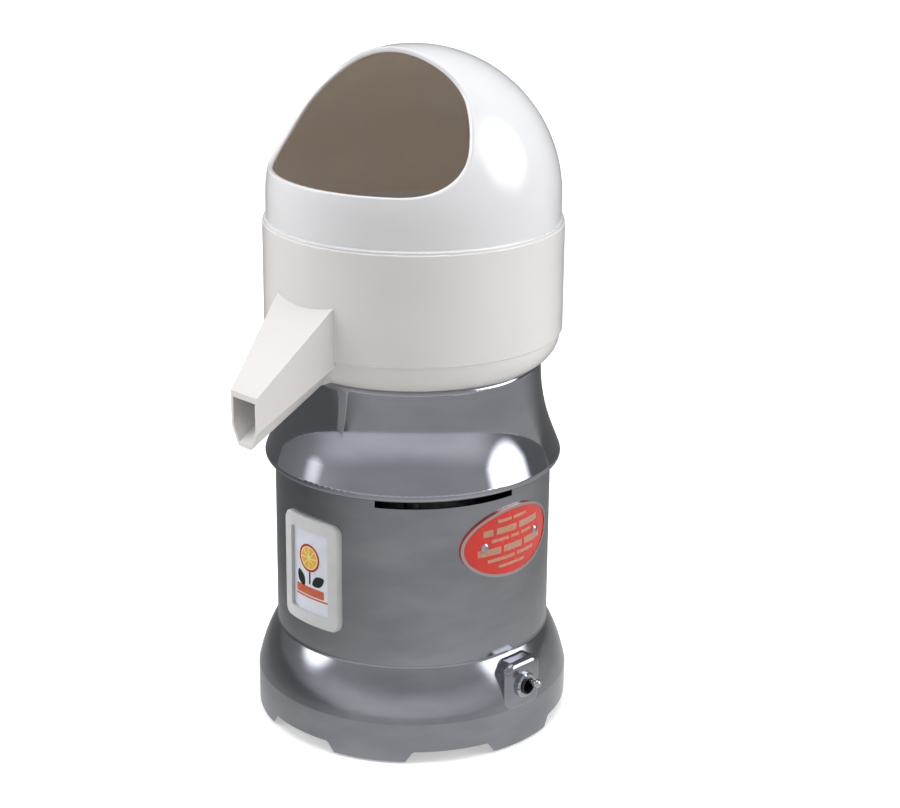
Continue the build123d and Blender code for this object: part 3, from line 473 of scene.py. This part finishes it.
printOnBadge("fruitLeaves", [(leaf(*badge["leafSize"]), (x * mm, z * mm), math.radians(turn), ink["flat"])
                             for x, z, turn in badge["leafPlaces"]], leafInk)
barX, barZ = badge["barCentre"]
lineCentre = (barX + badge["lineShift"][0], barZ + badge["lineShift"][1])
printOnBadge("badgeBar", [(bar(*badge["bar"]), badge["barCentre"], 0, ink["flat"]),
                          (bar(*badge["line"]), lineCentre, 0, ink["flat"])], barInk)
print("badge printed")

plate = {
    "centre": 148.0 * mm, "faceRadius": plateRadius - 0.5 * mm, "azimuth": math.pi / 2,
    "corner": 0.5 * mm, "thickness": 0.1 * mm,
    # height above the middle, band height, then the dashes as start and end along the plate, all in mm
    "bands": ((16.5, 2.2, ((-14, -2), (0, 13))), (9.5, 4.6, ((-26, -18), (-15, 3), (5.5, 26))),
              (3.2, 2.2, ((-19, -4), (-2, 6), (8, 19))), (-4.2, 4.8, ((-30, -11), (-8.5, 9), (11.5, 30))),
              (-10.8, 2.4, ((-22, 2), (4, 22))), (-16.4, 2.0, ((-13, 12),))),
}
dashes = []
for height, tall, spans in plate["bands"]:
    for start, end in spans:
        middle = ((start + end) / 2 * mm, plate["centre"] + height * mm)
        dashes.append((bar((end - start) * mm, tall * mm, plate["corner"]), middle, 0, plate["thickness"]))
layMarks("plateBands", dashes, wornInk, plate["faceRadius"], plate["azimuth"])
print("plate banded")

# polished blend that carries the shroud's cone up into its neck in one long hollow curve
blend = {
    "neckRadius": 88.0 * mm, "cornerHeight": 228.0 * mm, "lean": 0.4, "bend": 130.0 * mm,
    "arcSteps": 28, "turnSteps": 256, "proud": 0.03 * mm, "sunk": 0.6 * mm,
}
turned = math.atan(blend["lean"])
reach = blend["bend"] * math.tan(turned / 2)  # from the corner to where the curve starts
upper = Vector((blend["neckRadius"] + blend["proud"], 0, blend["cornerHeight"] + reach))
bm = bmesh.new()
arc = bmesh.ops.create_vert(bm, co=upper)["vert"]
bmesh.ops.spin(bm, geom=arc, cent=upper + Vector((blend["bend"], 0, 0)), axis=(0, 1, 0), dvec=(0, 0, 0),
               angle=-turned, steps=blend["arcSteps"])
lowest = min(bm.verts, key=lambda v: v.co.z)
highest = max(bm.verts, key=lambda v: v.co.z)
sunkCorner = (blend["neckRadius"] - blend["sunk"], 0, blend["cornerHeight"])
corner = bmesh.ops.create_vert(bm, co=sunkCorner)["vert"][0]
bm.edges.new((lowest, corner))
bm.edges.new((corner, highest))
bmesh.ops.spin(bm, geom=bm.verts[:] + bm.edges[:], cent=(0, 0, 0), axis=(0, 0, 1), dvec=(0, 0, 0),
               angle=2 * math.pi, steps=blend["turnSteps"], use_merge=True)
shroudBlend = finishPiece("shroudBlend", bm, buffedChrome, "base")
shroudBlend.data.shade_smooth()
shroudBlend.data.set_sharp_from_angle(angle=math.radians(30))
print("shroud blended")

# the floor throws back less light than it shows, so that undersides stay in soft shade
studio = {"floorSize": 40.0, "floorDrop": 0.2 * mm, "floorColour": "#f1f1f1", "bounceColour": "#c9c6c3",
          "floorLift": 0.3}
bm = bmesh.new()
bmesh.ops.create_grid(bm, x_segments=1, y_segments=1, size=studio["floorSize"] / 2)
floorMesh = bpy.data.meshes.new("floor")
bm.to_mesh(floorMesh)
bm.free()
floor = bpy.data.objects.new("floor", floorMesh)
floor.location.z = -studio["floorDrop"]
floorPaint = startMaterial("paleFloor", studio["floorColour"], 0.7)
floorMesh.materials.append(floorPaint)
floorTree = floorPaint.node_tree
floorShader = floorTree.nodes["Principled BSDF"]
seenHere = addNode(floorTree, "ShaderNodeLightPath", {}).outputs["Is Camera Ray"]
lift = addNode(floorTree, "ShaderNodeMath", {"operation": "MULTIPLY", 1: studio["floorLift"]}, {0: seenHere})
floorShader.inputs["Emission Color"].default_value = toLinear("#ffffff")
floorTree.links.new(lift.outputs[0], floorShader.inputs["Emission Strength"])
shown = addNode(floorTree, "ShaderNodeMix",
                {"data_type": "RGBA", 6: toLinear(studio["bounceColour"]), 7: toLinear(studio["floorColour"])},
                {0: seenHere})
floorTree.links.new(shown.outputs[2], floorShader.inputs["Base Color"])
bpy.context.collection.objects.link(floor)

# a grey studio card that only polished metal sees: without it the bright floor would wash the steel out
greyCard = {
    "radius": 19.0, "height": 0.3 * mm,
    "tones": (0.19, 0.57), "tonesOver": 0.35, "brighterTowards": (0.985, -0.174, 0),
    "nearLift": 1.55, "nearEnds": (0.12, 0.3), "farDrop": 0.8, "farStarts": (0.5, 0.8),
}
bm = bmesh.new()
bmesh.ops.create_circle(bm, cap_ends=True, radius=greyCard["radius"], segments=96)
cardMesh = bpy.data.meshes.new("greyCard")
bm.to_mesh(cardMesh)
bm.free()
cardPaint = bpy.data.materials.new("greyCardTone")
cardPaint.use_nodes = True
cardTree = cardPaint.node_tree
cardTree.nodes.clear()
onCard = addNode(cardTree, "ShaderNodeTexCoord", {}).outputs["Object"]
along = addNode(cardTree, "ShaderNodeVectorMath", {"operation": "DOT_PRODUCT", 1: greyCard["brighterTowards"]},
                {0: onCard})
away = addNode(cardTree, "ShaderNodeVectorMath", {"operation": "LENGTH"}, {0: onCard}).outputs["Value"]
across = addNode(cardTree, "ShaderNodeMapRange",
                 {"interpolation_type": "SMOOTHSTEP",
                  "From Min": -greyCard["tonesOver"], "From Max": greyCard["tonesOver"],
                  "To Min": greyCard["tones"][0], "To Max": greyCard["tones"][1]},
                 {"Value": along.outputs["Value"]})
near = addNode(cardTree, "ShaderNodeMapRange",
               {"From Min": greyCard["nearEnds"][0], "From Max": greyCard["nearEnds"][1],
                "To Min": greyCard["nearLift"], "To Max": 1.0}, {"Value": away})
far = addNode(cardTree, "ShaderNodeMapRange",
              {"From Min": greyCard["farStarts"][0], "From Max": greyCard["farStarts"][1],
               "To Min": 1.0, "To Max": greyCard["farDrop"]}, {"Value": away})
lifted = addNode(cardTree, "ShaderNodeMath", {"operation": "MULTIPLY"},
                 {0: across.outputs[0], 1: near.outputs[0]})
fading = addNode(cardTree, "ShaderNodeMath", {"operation": "MULTIPLY"},
                 {0: lifted.outputs[0], 1: far.outputs[0]})
glow = addNode(cardTree, "ShaderNodeEmission", {"Color": toLinear("#ffffff")}, {"Strength": fading.outputs[0]})
addNode(cardTree, "ShaderNodeOutputMaterial", {}, {"Surface": glow.outputs[0]})
cardMesh.materials.append(cardPaint)
card = bpy.data.objects.new("greyCard", cardMesh)
card.location.z = greyCard["height"]
card.visible_camera = card.visible_diffuse = card.visible_shadow = card.visible_transmission = False
bpy.context.collection.objects.link(card)

# every light has two strengths: as metal and gloss mirror it, and as it falls on matt surfaces
room = {
    "mirrored": (0.36, 0.5), "cast": (0.26, 0.38),  # at the horizon and overhead
    "sides": (0.5, 1.15), "sidesOver": (-0.4, 0.6),  # behind the object and in front of it
    "seenColour": "#f4f4f4", "lightColour": "#fbfcff",
}
# angles in degrees: where the box is, how wide it is full bright, and where it ends
softBoxes = [
    {"azimuth": 130, "elevation": 25, "full": 15, "end": 25, "mirrored": 4.2, "cast": 5.3},
    {"azimuth": -58, "elevation": 14, "full": 14, "end": 40, "mirrored": 0.1, "cast": 3.6},
    {"azimuth": 45, "elevation": 88, "full": 12, "end": 30, "mirrored": 1.6, "cast": 4.0},
    {"azimuth": -42, "elevation": 25, "full": 6, "end": 17, "mirrored": 3.2, "cast": 0.0},
]
# a long low strip light in front: elevations where it starts, is full, starts to fade and ends
strip = {"azimuth": 40, "elevations": (-3, 1, 6, 20), "halfWidth": (50, 88), "mirrored": 0.4, "cast": 0.05}

world = bpy.data.worlds.new("studioRoom")
bpy.context.scene.world = world
world.use_nodes = True
roomTree = world.node_tree
roomTree.nodes.clear()
aim = addNode(roomTree, "ShaderNodeTexCoord", {}).outputs["Object"]
height = addNode(roomTree, "ShaderNodeSeparateXYZ", {}, {0: aim}).outputs["Z"]


def towards(azimuth, elevation):
    # azimuth from the spout side towards the switch side, in degrees
    a, e = math.radians(azimuth), math.radians(elevation)
    return Vector((math.sin(a) * math.cos(e), -math.cos(a) * math.cos(e), math.sin(e)))


def ramp(low, high, toLow, toHigh, source):
    return addNode(roomTree, "ShaderNodeMapRange",
                   {"interpolation_type": "SMOOTHSTEP", "From Min": low, "From Max": high,
                    "To Min": toLow, "To Max": toHigh}, {"Value": source}).outputs[0]


def multiply(first, second):
    return addNode(roomTree, "ShaderNodeMath", {"operation": "MULTIPLY"}, {0: first, 1: second}).outputs[0]


def fadeByAngle(full, end, cosine):
    return ramp(math.cos(math.radians(end)), math.cos(math.radians(full)), 0.0, 1.0, cosine)


def cosineTo(direction, source):
    return addNode(roomTree, "ShaderNodeVectorMath", {"operation": "DOT_PRODUCT", 1: direction},
                   {0: source}).outputs["Value"]


spots = []
for box in softBoxes:
    cosine = cosineTo(towards(box["azimuth"], box["elevation"]), aim)
    spots.append((fadeByAngle(box["full"], box["end"], cosine), box))
start, full, fades, end = [math.sin(math.radians(e)) for e in strip["elevations"]]
rise = ramp(start, full, 0.0, 1.0, height)
fall = ramp(fades, end, 1.0, 0.0, height)
flat = addNode(roomTree, "ShaderNodeVectorMath", {"operation": "MULTIPLY", 1: (1, 1, 0)}, {0: aim})
level = addNode(roomTree, "ShaderNodeVectorMath", {"operation": "NORMALIZE"}, {0: flat.outputs[0]})
ahead = cosineTo(towards(strip["azimuth"], 0), level.outputs[0])
spots.append((multiply(multiply(rise, fall), fadeByAngle(*strip["halfWidth"], ahead)), strip))


def allLights(kind):
    total = ramp(0.0, 1.0, *room[kind], height)
    if kind == "mirrored":
        total = multiply(total, ramp(*room["sidesOver"], *room["sides"], ahead))
    for spot, settings in spots:
        total = addNode(roomTree, "ShaderNodeMath", {"operation": "MULTIPLY_ADD", 1: settings[kind]},
                        {0: spot, 2: total}).outputs[0]
    return total


path = addNode(roomTree, "ShaderNodeLightPath", {})
light = addNode(roomTree, "ShaderNodeMix", {"data_type": "FLOAT"},
                {0: path.outputs["Is Diffuse Ray"], 2: allLights("mirrored"), 3: allLights("cast")}).outputs[0]
seen = addNode(roomTree, "ShaderNodeBackground", {"Color": toLinear(room["seenColour"]), "Strength": 1.0})
lit = addNode(roomTree, "ShaderNodeBackground", {"Color": toLinear(room["lightColour"])}, {"Strength": light})
both = addNode(roomTree, "ShaderNodeMixShader", {},
               {0: path.outputs["Is Camera Ray"], 1: lit.outputs[0], 2: seen.outputs[0]})
addNode(roomTree, "ShaderNodeOutputWorld", {}, {"Surface": both.outputs[0]})

view = {
    "place": (0.9919, -0.9680, 0.6977), "forward": (-0.66441, 0.67282, -0.32540),
    "right": (0.71154, 0.70265, 0.0),
    "roll": 0.56, "lens": 84.4, "sensor": 36.0, "clipEnd": 50.0,
}
forward = Vector(view["forward"]).normalized()
right = Vector(view["right"]).normalized()
up = right.cross(forward)
roll = math.radians(view["roll"])
side = right * math.cos(roll) + up * math.sin(roll)
top = up * math.cos(roll) - right * math.sin(roll)
camera = bpy.data.objects.new("camera", bpy.data.cameras.new("camera"))
camera.data.lens = view["lens"]
camera.data.sensor_width = view["sensor"]
camera.data.clip_end = view["clipEnd"]
camera.matrix_world = Matrix((
    (side.x, top.x, -forward.x, view["place"][0]),
    (side.y, top.y, -forward.y, view["place"][1]),
    (side.z, top.z, -forward.z, view["place"][2]),
    (0, 0, 0, 1)))
bpy.context.collection.objects.link(camera)
bpy.context.scene.camera = camera
bpy.context.scene.view_settings.view_transform = "Standard"
print("studio ready")
